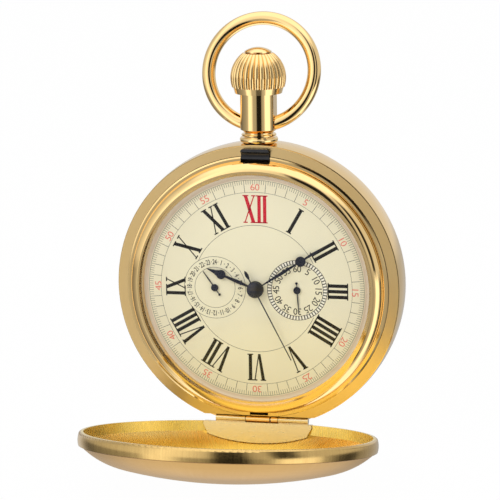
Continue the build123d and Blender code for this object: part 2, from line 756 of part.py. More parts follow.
def jewelled(plate, at, hole):
    # A jewel let into a plate's inner face, with the arbor's hole above it.
    jewels.append(tube(jewel_radius, hole, bridge_front_y, bridge_front_y + jewel_height, at))
    plate -= tube(
        jewel_radius + seat_gap, 0, bridge_front_y - 1, bridge_front_y + jewel_height + seat_gap, at)
    return plate - tube(hole, 0, bridge_front_y, bridge_back_y + 1, at)


train_bridge = jewelled(train_bridge, centre_at, sweep_wire + running_gap)
train_bridge = jewelled(train_bridge, third_at, arbor_wire + running_gap)
for at in (fourth_at, escape_at):
    train_bridge = jewelled(train_bridge, at, pivot_wire + running_gap)
balance_cock = jewelled(balance_cock, balance_at, pivot_wire + running_gap)
barrel_bridge -= tube(arbor_radius + running_gap, 0, bridge_front_y - 1, bridge_back_y + 1, barrel_at)
barrel_bridge -= block((-keyless_half, keyless_half), (plate_back_y, bridge_front_y + 0.4),
                       (stem_bottom - 1.2, keyless_top))
barrel_bridge -= stem_rod(stem_radius + slide_gap, stem_bottom - 1.2, plate_radius + 1)
bridge_screws = []
screw_radius = bridge_radius - foot_ring / 2
screw_margin = 1.0
barrel_last = 180 - degrees(asin((barrel_side_low + screw_margin) / screw_radius))
train_first = degrees(acos((train_edge + screw_margin) / screw_radius))
train_last = degrees(asin((train_side_low + screw_margin) / screw_radius))
seats = {
    "barrel": (barrel_last - 83, barrel_last - 38, barrel_last),
    "train": (train_first, (train_first + train_last) / 2, train_last),
    "cock": (cock_angle,),
}
plates = {"barrel": barrel_bridge, "train": train_bridge, "cock": balance_cock}
for name, angles in seats.items():
    for angle in angles:
        at = polar(screw_radius, angle)
        plates[name] -= tube(0.42 + seat_gap, 0, bridge_back_y - 2.0, bridge_back_y + 1, at)
        bridge_screws.append(screw(at, 0.8, 0.42, bridge_back_y + seat_gap, 0.42, 1.8))

# Click with its post, and the crown wheel's core, on the barrel bridge
core_radius = 0.9
plates["barrel"] -= tube(
    core_radius * 0.6 + seat_gap, 0, bridge_back_y - 0.6, bridge_back_y + 1, crown_wheel_at)
core_top_y = winding_y + winding_thickness
parts["crown_wheel_core"] = tube(core_radius, 0, bridge_back_y + seat_gap, core_top_y, crown_wheel_at) + tube(
    core_radius * 0.6, 0, bridge_back_y - 0.5, bridge_back_y + seat_gap, crown_wheel_at)
ratchet_tip = winding_module * (ratchet_teeth / 2 + 0.95)
click_at = polar(ratchet_tip + 2.0, 215, barrel_at)
click_tip = polar(ratchet_tip + running_gap, 200, barrel_at)
click_swing = degrees(atan2(click_tip[1] - click_at[1], click_tip[0] - click_at[0]))
click_length = hypot(click_tip[0] - click_at[0], click_tip[1] - click_at[1])
click_face = Circle(0.85) + Rot(0, 0, click_swing) * make_face(
    Polyline((0, -0.6), (click_length, -0.05), (click_length, 0.05), (0, 0.8), close=True))
click_face -= Circle(0.35 + running_gap)
parts["click"] = slab(click_face, winding_y, winding_y + 0.4, click_at)
plates["barrel"] += tube(0.35, 0, bridge_back_y, winding_y + 0.4, click_at)
spring_centre = polar(2.6, click_swing + 150, click_at)
spring_face = Pos(*spring_centre) * ring_span(1.55, 1.7, click_swing - 150, click_swing + 20)
spring_face += Pos(*polar(1.62, click_swing - 150, spring_centre)) * Circle(0.45)
parts["click_spring"] = slab(spring_face, winding_y - running_gap + seat_gap, winding_y + 0.35)
parts["barrel_bridge"] = plates["barrel"]
parts["train_bridge"] = plates["train"]
parts["balance_cock"] = plates["cock"]
parts["jewels"] = Compound(children=jewels)
parts["bridge_screws"] = Compound(children=bridge_screws)

# Winding wheels
ratchet_phase = 0.0
crown_phase = meshed(ratchet_phase, ratchet_teeth, barrel_at, crown_teeth, crown_wheel_at)
square = 2 * 0.6
square_hole = square + 2 * seat_gap
parts["ratchet_wheel"] = slab(
    gear(ratchet_teeth, winding_module, ratchet_phase) - Rectangle(square_hole, square_hole),
    winding_y, winding_y + winding_thickness, barrel_at)
parts["crown_wheel"] = slab(
    gear(crown_teeth, winding_module, crown_phase) - Circle(core_radius + running_gap),
    winding_y, winding_y + winding_thickness, crown_wheel_at)
hub_radius_barrel = 1.5
drum_front_y = barrel_teeth_y + 0.4
drum_back_y = bridge_front_y - 0.12
parts["barrel_arbor"] = (
    tube(arbor_radius * 0.6, 0, plate_back_y - 0.7, barrel_teeth_y - 0.1, barrel_at)
    + tube(arbor_radius, 0, barrel_teeth_y - 0.1, bridge_back_y, barrel_at)
    + tube(hub_radius_barrel, 0, drum_front_y + 0.1, drum_back_y - drum_wall - 0.1, barrel_at)
    + slab(Rectangle(square, square), bridge_back_y, winding_y + winding_thickness, barrel_at))
parts["ratchet_screw"] = screw(barrel_at, 1.3, 0.01, winding_y + winding_thickness + seat_gap, 0.3, 0.01)

# Barrel: toothed drum, lid and mainspring
barrel_phase = 0.0
centre_pinion_phase = meshed(barrel_phase, barrel_teeth, barrel_at, centre_leaves, centre_at)
barrel_root = barrel_module * (barrel_teeth / 2 - 1.2)
drum = slab(gear(barrel_teeth, barrel_module, barrel_phase), barrel_teeth_y, drum_front_y, barrel_at)
drum += tube(barrel_root, barrel_root - drum_wall, drum_front_y, drum_back_y, barrel_at)
drum -= tube(arbor_radius + running_gap, 0, barrel_teeth_y - 1, drum_back_y + 1, barrel_at)
parts["barrel_drum"] = drum
parts["barrel_cover"] = tube(barrel_root - drum_wall - seat_gap, arbor_radius + running_gap,
                             drum_back_y - drum_wall, drum_back_y, barrel_at)
parts["mainspring"] = spiral(hub_radius_barrel + 0.25, barrel_root - drum_wall - 0.12, 9, 0.12,
                             drum_front_y + 0.06, drum_back_y - drum_wall - 0.06, barrel_at)


def arbor(at, front, back, wire=None):
    # A shaft with fine pivots at both ends.
    wire = wire or arbor_wire
    body = tube(wire, 0, front + pivot_length, back - pivot_length, at)
    return body + tube(pivot_wire, 0, front, back, at)


def wheel(teeth, module, y, at, phase, spokes, hub=0.7):
    rim = module * (teeth / 2 - 1.2) - 0.35
    face = spoked(gear(teeth, module, phase), rim, hub, spokes, 0.3)
    return slab(face, y, y + wheel_thickness, at)


# Going train
pivot_front_y = plate_back_y - pivot_length
pivot_back_y = bridge_front_y + pivot_length
third_pinion_phase = meshed(0, centre_teeth, centre_at, third_leaves, third_at)
fourth_pinion_phase = meshed(0, third_teeth, third_at, fourth_leaves, fourth_at)
escape_pinion_phase = meshed(0, fourth_teeth, fourth_at, escape_leaves, escape_at)
centre = wheel(centre_teeth, centre_module, centre_wheel_y, centre_at, 0, 4, 1.3)
centre += slab(gear(centre_leaves, barrel_module, centre_pinion_phase), barrel_teeth_y - 0.15,
               drum_front_y - 0.02)
centre += tube(centre_pipe, 0, minute_wheel_y - 0.9, drum_front_y + 0.3)
centre -= tube(sweep_wire + running_gap, 0, dial_y - 3, bridge_back_y)
parts["centre_wheel"] = centre
third = wheel(third_teeth, third_module, third_wheel_y, third_at, 0, 4)
third += slab(gear(third_leaves, centre_module, third_pinion_phase), centre_wheel_y - 0.1,
              centre_wheel_y + wheel_thickness + 0.1, third_at)
third += tube(pivot_wire, 0, pivot_front_y, plate_back_y + 0.1, third_at)
third += tube(arbor_wire, 0, plate_back_y + 0.1, sweep_wheel_y + wheel_thickness, third_at)
third += wheel(third_teeth, sweep_module, sweep_wheel_y, third_at, 0, 5)
parts["third_wheel"] = third
fourth = wheel(fourth_teeth, fourth_module, fourth_wheel_y, fourth_at, 0, 4)
fourth += slab(gear(fourth_leaves, third_module, fourth_pinion_phase), third_wheel_y - 0.1,
               third_wheel_y + wheel_thickness + 0.1, fourth_at)
fourth += tube(arbor_wire, 0, dial_y - small_arbor_reach, bridge_front_y - running_gap, fourth_at)
fourth += tube(pivot_wire, 0, bridge_front_y - 0.2, pivot_back_y, fourth_at)
parts["fourth_wheel"] = fourth
sweep_phase = meshed(0, third_teeth, third_at, sweep_leaves, centre_at)
parts["sweep_arbor"] = tube(sweep_wire, 0, dial_y - 1.2, sweep_wheel_y + wheel_thickness + 0.1) + slab(
    gear(sweep_leaves, sweep_module, sweep_phase), sweep_wheel_y - 0.1, sweep_wheel_y + wheel_thickness + 0.1)

# Escapement: club-toothed wheel, lever with two pallets, balance with its spring
club = []
for k in range(escape_teeth):
    turn = k * 360 / escape_teeth
    club += [polar(escape_radius * 0.74, turn), polar(escape_radius * 0.98, turn + 6),
             polar(escape_radius, turn + 9), polar(escape_radius * 0.76, turn + 8)]
escape_face = spoked(make_face(Polyline(*club, close=True)), escape_radius * 0.6, 0.5, 4, 0.22)
escape = slab(escape_face, escape_wheel_y, escape_wheel_y + wheel_thickness, escape_at)
escape += slab(gear(escape_leaves, fourth_module, escape_pinion_phase), fourth_wheel_y - 0.05,
               fourth_wheel_y + wheel_thickness + 0.1, escape_at)
escape += arbor(escape_at, pivot_front_y, pivot_back_y, 0.2)
parts["escape_wheel"] = escape
pallet_front_y = escape_wheel_y - 0.05
fork = Rot(0, 0, lever_angle) * (
    make_face(Polyline((-0.4, -0.22), (1.9, -0.14), (2.55, -0.42), (2.75, -0.36), (2.3, 0), (2.75, 0.36),
                       (2.55, 0.42), (1.9, 0.14), (-0.4, 0.22), close=True))
    + Rectangle(0.5, 3.0) + Pos(-0.2, 1.5) * Rectangle(0.6, 0.3) + Pos(-0.2, -1.5) * Rectangle(0.6, 0.3))
lever_cock_y = pallet_front_y + 0.75
lever = slab(fork, pallet_front_y, pallet_front_y + 0.25, lever_at)
lever += tube(0.18, 0, plate_back_y + 0.05, lever_cock_y - running_gap, lever_at)
lever += tube(pivot_wire, 0, pivot_front_y, lever_cock_y + 0.2, lever_at)
parts["pallet_lever"] = lever
cock_foot = polar(3.4, lever_angle + 90, lever_at)
pallet_bar = Rot(0, 0, lever_angle + 90) * Pos(1.7, 0) * Rectangle(4.4, 1.1)
pallet_cock = slab(pallet_bar, lever_cock_y, lever_cock_y + 0.3, lever_at)
pallet_cock += tube(0.55, 0, plate_back_y + seat_gap, lever_cock_y, cock_foot)
pallet_cock -= tube(pivot_wire + running_gap, 0, lever_cock_y - 1, lever_cock_y + 1, lever_at)
parts["pallet_cock"] = pallet_cock
rim_face = Circle(balance_radius) - Circle(balance_radius - balance_rim)
rim_face += Rot(0, 0, lever_angle) * Rectangle(2 * balance_radius - 0.4, 0.5) + Circle(0.6)
balance = slab(rim_face, balance_y, balance_y + 0.4, balance_at)
balance += arbor(balance_at, pivot_front_y, pivot_back_y, 0.22)
balance += tube(0.8, 0, pallet_front_y + 0.35, pallet_front_y + 0.5, balance_at)
balance += tube(0.09, 0, pallet_front_y, pallet_front_y + 0.4, polar(0.55, lever_angle + 180, balance_at))
for k in range(12):
    weight = Pos(*polar(balance_radius - balance_rim / 2, 15 + 30 * k)) * Circle(0.2)
    balance += slab(weight, balance_y - 0.12, balance_y + 0.52, balance_at)
parts["balance_wheel"] = balance
hairspring = spiral(0.65, 2.3, 8, 0.07, balance_y + 0.55, balance_y + 0.75, balance_at)
stud_at = polar(2.3, 0, balance_at)
parts["hairspring"] = hairspring + tube(0.16, 0, balance_y + 0.55, bridge_front_y - seat_gap, stud_at)

# Motion work
cannon_phase = 0.0
minute_phase = meshed(cannon_phase, cannon_leaves, centre_at, minute_teeth, minute_at)
hour_phase = meshed(0, minute_leaves, minute_at, hour_teeth, centre_at)
day_phase = meshed(0, minute_leaves, minute_at, day_teeth, day_at)
cannon = tube(cannon_pipe, 0, dial_y - 0.88, minute_wheel_y + 0.3)
cannon += slab(gear(cannon_leaves, cannon_module, cannon_phase), minute_wheel_y, minute_wheel_y + 0.3)
cannon_bore = centre_pipe + seat_gap
cannon -= tube(cannon_bore, 0, minute_wheel_y - 1.0, minute_wheel_y + 1)
cannon -= tube(sweep_wire + running_gap, 0, dial_y - 2, minute_wheel_y)
parts["cannon_pinion"] = cannon
minute_wheel = slab(
    spoked(gear(minute_teeth, cannon_module, minute_phase), 1.35, 0.6, 3, 0.3), minute_wheel_y,
    minute_wheel_y + 0.3, minute_at)
minute_wheel += slab(gear(minute_leaves, day_module, 0), hour_wheel_y - 0.05, minute_wheel_y, minute_at)
minute_wheel -= tube(arbor_wire + running_gap, 0, dial_back_y, plate_front_y, minute_at)
parts["minute_wheel"] = minute_wheel
hour_wheel = slab(spoked(gear(hour_teeth, day_module, hour_phase), 1.55, 1.05, 4, 0.3), hour_wheel_y,
                  hour_wheel_y + 0.3)
hour_wheel += tube(hour_pipe, 0, dial_y - 0.56, hour_wheel_y + 0.3)
hour_wheel -= tube(cannon_pipe + running_gap, 0, dial_y - 2, hour_wheel_y + 1)
parts["hour_wheel"] = hour_wheel
day_wheel = slab(spoked(gear(day_teeth, day_module, day_phase), 3.4, 0.9, 5, 0.35), hour_wheel_y,
                 hour_wheel_y + 0.3, day_at)
parts["day_wheel"] = day_wheel + tube(
    arbor_wire, 0, dial_y - small_arbor_reach, plate_back_y - 0.35, day_at)


# Hands
def blade(points):
    # Half outlines (along, half width) mirrored about the hand's line.
    both = points + [(along, -half) for along, half in reversed(points)]
    return make_face(Polyline(*both, close=True))


def hand(face, spec, hub, bore, at, collar=0.1):
    # The face lies along local x and is turned to its clock angle.
    length, level, angle = spec
    front = dial_y - level - hand_thickness
    body = slab(Rot(0, 0, 90 - angle) * face + Circle(hub), front, front + hand_thickness, at)
    body += tube(hub * 0.9, 0, front + hand_thickness, front + hand_thickness + collar, at)
    return body - tube(bore + seat_gap, 0, front - 1, front + 1, at) if bore else body


hour_disc_at = hour_hand[0] - hour_disc_setback
hour_face = blade([(0, 0.1), (0.9, 0.12), (3.2, 0.3), (hour_disc_at - 0.1, 0.14)])
hour_face += Pos(hour_disc_at, 0) * Circle(hour_disc)
hour_face += blade([(hour_disc_at + 0.1, 0.7), (hour_disc_at + 1.2, 0.3), (hour_hand[0], 0.04)])
parts["hour_hand"] = hand(hour_face, hour_hand, hub_radius, hour_pipe, centre_at)
minute_disc_at = minute_hand[0] - minute_disc_setback
minute_face = blade([(0, 0.1), (1.4, 0.1), (5.4, 0.27), (minute_disc_at - 0.1, 0.11)])
minute_face += Pos(minute_disc_at, 0) * Circle(minute_disc)
minute_face += blade([(minute_disc_at + 0.1, 0.4), (minute_disc_at + 0.8, 0.16), (minute_disc_at + 2.5, 0.22),
                      (minute_hand[0], 0.04)])
parts["minute_hand"] = hand(minute_face, minute_hand, hub_radius - 0.05, cannon_pipe, centre_at)
sweep_face = blade([(-2.0, 0.1), (sweep_hand[0], 0.07)])
sweep_face += blade([(-3.55, 0.03), (-3.2, 0.22), (-2.7, 0.3), (-2.2, 0.2), (-1.9, 0.05)])
sweep_front = dial_y - sweep_hand[1] - hand_thickness
dome = turned(profile((0, sweep_front), (hub_radius - 0.07, sweep_front),
                      dome_arc((hub_radius - 0.07, sweep_front), sweep_front - 0.28)))
sweep = hand(sweep_face, sweep_hand, hub_radius - 0.07, 0, centre_at, 0.06) + dome
parts["sweep_seconds_hand"] = sweep - tube(sweep_wire + 0.005, 0, dial_y - 1.21, dial_y)
small_hands = (("day_hand", day_hand, day_at, 1.4), ("small_seconds_hand", seconds_hand, fourth_at, 1.2))
for name, spec, at, dot in small_hands:
    face = blade([(-dot, 0.05), (spec[0] * 0.5, 0.09), (spec[0], 0.05)]) + Pos(-dot, 0) * Circle(0.2)
    small = hand(face, spec, small_hub_radius, 0, at, 0.05)
    small -= tube(arbor_wire + 0.005, 0, dial_y - small_arbor_reach - 0.01, dial_y, at)
    parts[name] = small

os.makedirs("parts", exist_ok=True)
for name, solid in parts.items():
    export_step(solid, f"parts/{name}.step")
    print(name, round(solid.volume, 3))
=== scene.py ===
import json
import math

import bmesh
import bpy
from mathutils import Matrix, Vector


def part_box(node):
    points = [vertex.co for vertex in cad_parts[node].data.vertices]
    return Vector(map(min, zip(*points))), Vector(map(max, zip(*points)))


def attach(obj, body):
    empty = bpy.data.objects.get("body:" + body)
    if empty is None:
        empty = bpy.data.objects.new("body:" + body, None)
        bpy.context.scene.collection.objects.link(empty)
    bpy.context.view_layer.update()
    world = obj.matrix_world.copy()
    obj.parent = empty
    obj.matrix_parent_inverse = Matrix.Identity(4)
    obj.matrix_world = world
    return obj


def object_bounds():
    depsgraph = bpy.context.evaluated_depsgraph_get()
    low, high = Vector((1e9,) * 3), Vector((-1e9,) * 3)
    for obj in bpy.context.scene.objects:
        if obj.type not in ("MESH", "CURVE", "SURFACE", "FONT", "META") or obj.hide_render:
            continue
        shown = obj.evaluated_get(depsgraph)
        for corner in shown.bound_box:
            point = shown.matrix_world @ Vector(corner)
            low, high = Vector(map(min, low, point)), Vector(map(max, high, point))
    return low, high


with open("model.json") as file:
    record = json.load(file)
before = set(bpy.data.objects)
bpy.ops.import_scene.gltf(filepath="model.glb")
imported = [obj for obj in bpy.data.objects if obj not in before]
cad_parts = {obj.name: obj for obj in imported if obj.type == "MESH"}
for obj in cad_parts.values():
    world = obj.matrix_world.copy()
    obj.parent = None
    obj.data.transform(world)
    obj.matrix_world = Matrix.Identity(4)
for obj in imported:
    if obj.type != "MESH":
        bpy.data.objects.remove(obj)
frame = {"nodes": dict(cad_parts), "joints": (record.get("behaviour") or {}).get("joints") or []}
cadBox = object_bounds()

scene = bpy.context.scene
nodes = frame["nodes"]
joints = {joint["name"]: joint for joint in frame["joints"]}
mm = 0.001
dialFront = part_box("dial")[0][1]
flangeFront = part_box("case_band")[0][1]
bandRadius = -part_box("case_band")[0][0]
scene.view_settings.view_transform = "Standard"


# shader maths: a socket that can be added, scaled and compared in plain expressions
class Wire:
    def __init__(self, graph, out):
        self.graph = graph
        self.out = out

    def sum(self, operation, *values):
        slots = {place: value for place, value in enumerate(values)}
        return self.graph.node("ShaderNodeMath", {"operation": operation}, slots)

    def __add__(self, other):
        return self.sum("ADD", self, other)

    def __radd__(self, other):
        return self.sum("ADD", other, self)

    def __sub__(self, other):
        return self.sum("SUBTRACT", self, other)

    def __rsub__(self, other):
        return self.sum("SUBTRACT", other, self)

    def __mul__(self, other):
        return self.sum("MULTIPLY", self, other)

    def __rmul__(self, other):
        return self.sum("MULTIPLY", other, self)

    def __truediv__(self, other):
        return self.sum("DIVIDE", self, other)

    def __pow__(self, other):
        return self.sum("POWER", self, other)

    def __gt__(self, other):
        return self.sum("GREATER_THAN", self, other)

    def __lt__(self, other):
        return self.sum("LESS_THAN", self, other)


class Graph:
    def __init__(self, owner):
        owner.use_nodes = True
        self.owner = owner
        self.tree = owner.node_tree
        self.tree.nodes.clear()

    def node(self, kind, settings=None, values=None, out=0):
        made = self.tree.nodes.new(kind)
        for name, value in (settings or {}).items():
            if name == "stops":
                self.setStops(made.color_ramp, value)
            else:
                setattr(made, name, value)
        for name, value in (values or {}).items():
            if isinstance(value, Wire):
                self.tree.links.new(value.out, made.inputs[name])
            else:
                made.inputs[name].default_value = value
        return Wire(self, made.outputs[out]) if len(made.outputs) else made

    def setStops(self, ramp, stops):
        while len(ramp.elements) > 1:
            ramp.elements.remove(ramp.elements[-1])
        ramp.elements[0].position, ramp.elements[0].color = stops[0][0], (*stops[0][1], 1)
        for place, colour in stops[1:]:
            ramp.elements.new(place).color = (*colour, 1)

    def place(self):
        return self.node("ShaderNodeTexCoord", out=3)  # object coordinates, metres in the CAD frame

    def parts(self, vector):
        split = self.node("ShaderNodeSeparateXYZ", values={0: vector})
        return [Wire(self, out) for out in split.out.node.outputs]

    def scaled(self, vector, factors):
        return self.node("ShaderNodeVectorMath", {"operation": "MULTIPLY"}, {0: vector, 1: factors})

    def noise(self, vector, scale, detail=3.0, rough=0.55):
        return self.node("ShaderNodeTexNoise", values={
            "Vector": vector, "Scale": scale, "Detail": detail, "Roughness": rough})

    def blend(self, factor, first, second):
        return self.node("ShaderNodeMix", {"data_type": "RGBA"}, {
            0: factor, 6: (*first, 1) if isinstance(first, tuple) else first,
            7: (*second, 1) if isinstance(second, tuple) else second}, out=2)

    def between(self, value, low, high, first=0.0, second=1.0):
        return self.node("ShaderNodeMapRange", {"interpolation_type": "SMOOTHSTEP"}, {
            "Value": value, "From Min": low, "From Max": high, "To Min": first, "To Max": second})

    def bump(self, height, strength, distance):
        return self.node("ShaderNodeBump", values={
            "Height": height, "Strength": strength, "Distance": distance})

    def finish(self, values):
        shader = self.node("ShaderNodeBsdfPrincipled", values=values)
        self.node("ShaderNodeOutputMaterial", values={"Surface": shader})
        return self.owner


def newGraph(name):
    return Graph(bpy.data.materials.new(name))


# metals and other finishes; sizes in mm, noise scales per metre
polish = {
    "colour": (0.92, 0.67, 0.32), "deep": (0.86, 0.59, 0.25), "shade": (0.020, 0.014, 0.006),
    "rough": 0.06, "hazeRough": 0.13, "hazeScale": 140.0, "hazeSpan": (0.45, 0.75),
    "scratchScale": 900.0, "scratchDepth": 0.004, "scratchStrength": 0.12, "scratchStretch": (1.0, 6.0, 1.0),
}


def polishedGold():
    g = newGraph("polishedGold")
    place = g.place()
    haze = g.noise(place, polish["hazeScale"], 4.0)
    fine = g.noise(g.scaled(place, polish["scratchStretch"]), polish["scratchScale"], 2.0)
    return g.finish({
        "Base Color": g.blend(haze, polish["deep"], polish["colour"]),
        "Metallic": 1.0,
        "Roughness": g.between(haze, *polish["hazeSpan"], polish["rough"], polish["hazeRough"]),
        "Normal": g.bump(fine, polish["scratchStrength"], polish["scratchDepth"] * mm),
    })


flange = {
    "outerInset": 0.32, "innerInset": 1.83, "skin": 0.02, "rough": 0.30,
    "hollowInset": 0.48, "hollowDepth": 0.15, "hollowRough": 0.5, "hollowMetal": 0.4,
    "grainScale": 2600.0, "grainStrength": 0.22, "grainDepth": 0.008,
}


def bandGold():
    # polished side, finely grained front ring, and painted shade in the slots behind the front plane
    g = newGraph("bandGold")
    place = g.place()
    x, y, z = g.parts(place)
    radius = (x * x + z * z) ** 0.5
    inner, outer = (bandRadius - flange[name] * mm for name in ("innerInset", "outerInset"))
    face = (y < flangeFront + flange["skin"] * mm) * (radius > inner) * (radius < outer)
    # painted shade: faces set back behind the front plane turn near black, less metallic and rougher
    behind = y > flangeFront + flange["hollowDepth"] * mm
    hollowShade = behind * (radius < bandRadius - flange["hollowInset"] * mm)
    haze = g.noise(place, polish["hazeScale"], 4.0)
    grain = g.noise(place, flange["grainScale"], 2.0)
    rough = g.between(haze, *polish["hazeSpan"], polish["rough"], polish["hazeRough"])
    return g.finish({
        "Base Color": g.blend(hollowShade, g.blend(haze, polish["deep"], polish["colour"]), polish["shade"]),
        "Metallic": 1 - hollowShade * (1 - flange["hollowMetal"]),
        "Roughness": rough * (1 - face) + face * flange["rough"] + hollowShade * flange["hollowRough"],
        "Normal": g.bump(grain * face, flange["grainStrength"], flange["grainDepth"] * mm),
    })


plate = {
    "colour": (0.88, 0.72, 0.40), "deep": (0.80, 0.62, 0.32), "rough": 0.24, "roughSpread": 0.12,
    "grainStretch": (0.25, 1.0, 1.6), "grainScale": 1500.0, "grainStrength": 0.3, "grainDepth": 0.010,
    "cloudScale": 90.0,
}


def plateGold():
    # brushed along the chord
    g = newGraph("plateGold")
    place = g.place()
    grain = g.noise(g.scaled(place, plate["grainStretch"]), plate["grainScale"], 3.0, 0.65)
    cloud = g.noise(place, plate["cloudScale"], 4.0)
    return g.finish({
        # painted light: the plate takes a paler, brighter gold than the other gold parts
        "Base Color": g.blend(cloud * 0.6 + grain * 0.4, plate["deep"], plate["colour"]),
        "Metallic": 1.0,
        "Roughness": plate["rough"] + plate["roughSpread"] * (grain - 0.5) * 2.0,
        "Normal": g.bump(grain, plate["grainStrength"], plate["grainDepth"] * mm),
    })


lid = {
    "rimGap": 0.05, "band": 2.1, "wall": 23.2, "depth": 7.45,
    "shell": 0.6, "crown": 73.95, "shoulder": 12.0, "shoulderAt": (14.765, -6.335), "crownEdge": 17.6,
    "outside": (0.51, 0.32, 0.115), "outsideDeep": (0.43, 0.255, 0.082),
    "inside": (0.96, 0.76, 0.22), "insideDeep": (0.84, 0.62, 0.15), "bandColour": (0.80, 0.56, 0.21),
    "wallLight": (1.0, 0.86, 0.46), "wallDepth": (1.8, 3.6),
    "grooveShade": (0.30, 0.16, 0.05), "grooveBelow": 0.06, "grooveSpan": (0.04, 0.14),
    "bandRough": 0.20, "domeRough": 0.40, "insideRough": 0.27, "roughSpread": 0.14,
    "combStretch": (0.023, 0.06, 0.06), "combScale": 2600.0, "ringStretch": 0.0015, "ringScale": 1500.0,
    "cloudScale": 110.0, "grainStrength": 0.22, "grainDepth": 0.008,
}


def lidGold():
    # places are turned back to the closed lid: depth below its rim, distance and angle round its axis
    g = newGraph("lidGold")
    place = g.place()
    x, y, z = g.parts(place)
    openAngle = math.radians(joints["lid_close"]["range_deg"][1])
    c, s = math.cos(openAngle), math.sin(openAngle)
    hingeY, hingeZ = joints["lid_close"]["pos_m"][1:]
    dy, dz = y - hingeY, z - hingeZ
    depth = flangeFront - lid["rimGap"] * mm - hingeY - (dy * c + dz * s)
    across = dz * c - dy * s + hingeZ
    radius = (x * x + across * across) ** 0.5
    turn = g.node("ShaderNodeMath", {"operation": "ARCTAN2"}, {0: x, 1: across})
    reach = radius / mm
    half = lid["shell"] / 2
    crownMiddle = lid["depth"] - lid["crown"] + ((lid["crown"] - half) ** 2 - reach * reach) ** 0.5
    past = reach - lid["shoulderAt"][0]
    room = g.node("ShaderNodeMath", {"operation": "MAXIMUM"}, {
        0: (lid["shoulder"] - half) ** 2 - past * past, 1: 0.0})
    shoulderMiddle = room ** 0.5 + lid["shoulderAt"][1]
    onCrown = reach < lid["crownEdge"]
    middle = onCrown * crownMiddle + (1 - onCrown) * shoulderMiddle  # half way through the shell
    outside = g.node("ShaderNodeMath", {"operation": "MAXIMUM"}, {
        0: (radius > lid["wall"] * mm) * 1.0, 1: (depth > middle * mm) * 1.0})
    onBand = outside * (depth < lid["band"] * mm)
    # painted shade: a dark line just below the band, where the band steps down to the dome
    fromGroove = g.node("ShaderNodeMath", {"operation": "ABSOLUTE"}, {
        0: depth - (lid["band"] + lid["grooveBelow"]) * mm})
    low, high = lid["grooveSpan"]
    grooveShade = outside * (1 - g.between(fromGroove, low * mm, high * mm))
    about, down, away = lid["combStretch"]
    combed = g.node("ShaderNodeCombineXYZ", values={0: turn * about, 1: depth * down, 2: radius * away})
    ringed = g.node("ShaderNodeCombineXYZ", values={0: turn * lid["ringStretch"], 1: depth, 2: radius})
    hairs = g.noise(combed, lid["combScale"], 3.0, 0.7)
    rings = g.noise(ringed, lid["ringScale"], 3.0, 0.65)
    cloud = g.noise(place, lid["cloudScale"], 4.0)
    # painted shade: the outside of the lid takes a far darker gold than its inside
    outer = g.blend(cloud * 0.5 + rings * 0.5, lid["outsideDeep"], lid["outside"])
    outer = g.blend(onBand, outer, g.blend(hairs, lid["outside"], lid["bandColour"]))
    inner = g.blend(cloud * 0.5 + hairs * 0.5, lid["insideDeep"], lid["inside"])
    # painted light: a paler gold on the inner wall near the rim, fading out further down
    low, high = lid["wallDepth"]
    inner = g.blend(g.between(depth, low * mm, high * mm, 0.8, 0.0), inner, lid["wallLight"])
    rough = outside * (onBand * lid["bandRough"] + (1 - onBand) * lid["domeRough"])
    return g.finish({
        "Base Color": g.blend(grooveShade, g.blend(outside, inner, outer), lid["grooveShade"]),
        "Metallic": 1.0,
        "Roughness": rough + (1 - outside) * lid["insideRough"] + (hairs - 0.5) * lid["roughSpread"],
        "Normal": g.bump(hairs * 0.5 + rings * 0.5, lid["grainStrength"], lid["grainDepth"] * mm),
    })


enamel = {
    "centre": (0.82, 0.78, 0.585), "edge": (0.785, 0.74, 0.55),
    "bezelShade": (9.0, 19.0), "rough": 0.32, "coat": 0.35, "coatRough": 0.08,
    "ring": (18.12, 18.22), "rim": 18.95, "bevelReflection": (0.66, 0.54, 0.42), "bevelReflectionEdge": (0.84, 0.76, 0.64),
    "speckScale": 700.0, "speck": (0.55, 0.47, 0.26), "speckShare": 0.05, "speckRough": 0.06,
    "grainStrength": 0.05, "grainDepth": 0.004,
}


def dialEnamel():
    g = newGraph("dialEnamel")
    place = g.place()
    x, y, z = g.parts(place)
    radius = (x * x + z * z) ** 0.5
    # painted shade: the enamel darkens from the centre towards the bezel
    bezelShade = g.between(radius, enamel["bezelShade"][0] * mm, enamel["bezelShade"][1] * mm)
    speck = g.noise(place, enamel["speckScale"], 3.0)
    tone = g.blend(bezelShade, enamel["centre"], enamel["edge"])
    # painted reflection of the crystal's bevel: a pink-beige ring round the edge of the enamel, paler outward
    ring = g.between(radius, enamel["ring"][0] * mm, enamel["ring"][1] * mm)
    rise = g.between(radius, enamel["ring"][1] * mm, enamel["rim"] * mm)
    tone = g.blend(ring, tone, g.blend(rise, enamel["bevelReflection"], enamel["bevelReflectionEdge"]))
    return g.finish({
        "Base Color": g.blend(speck * enamel["speckShare"], tone, enamel["speck"]),
        "Roughness": enamel["rough"] + speck * enamel["speckRough"],
        "Coat Weight": enamel["coat"],
        "Coat Roughness": enamel["coatRough"],
        "Normal": g.bump(speck, enamel["grainStrength"], enamel["grainDepth"] * mm),
    })


ink = {
    "black": (0.010, 0.009, 0.008), "hair": (0.035, 0.032, 0.026), "red": (0.50, 0.010, 0.028),
    "rose": (0.66, 0.17, 0.13), "white": (0.82, 0.79, 0.66), "rough": 0.42, "roughSpread": 0.1,
    "shine": 0.15, "grainScale": 2500.0, "grainShare": 0.35, "gain": 1.5, "lift": 0.01,
    "sink": 0.002, "rise": 0.012, "hairRise": 0.008, "whiteRise": 0.005, "arcStep": 2.5,
}


def printedInk(name, colour):
    g = newGraph(name)
    grain = g.noise(g.place(), ink["grainScale"], 2.0)
    paler = tuple(min(1.0, c * ink["gain"] + ink["lift"]) for c in colour)
    return g.finish({
        "Base Color": g.blend(grain * ink["grainShare"], colour, paler),
        "Roughness": ink["rough"] + grain * ink["roughSpread"],
        "Specular IOR Level": ink["shine"],
    })


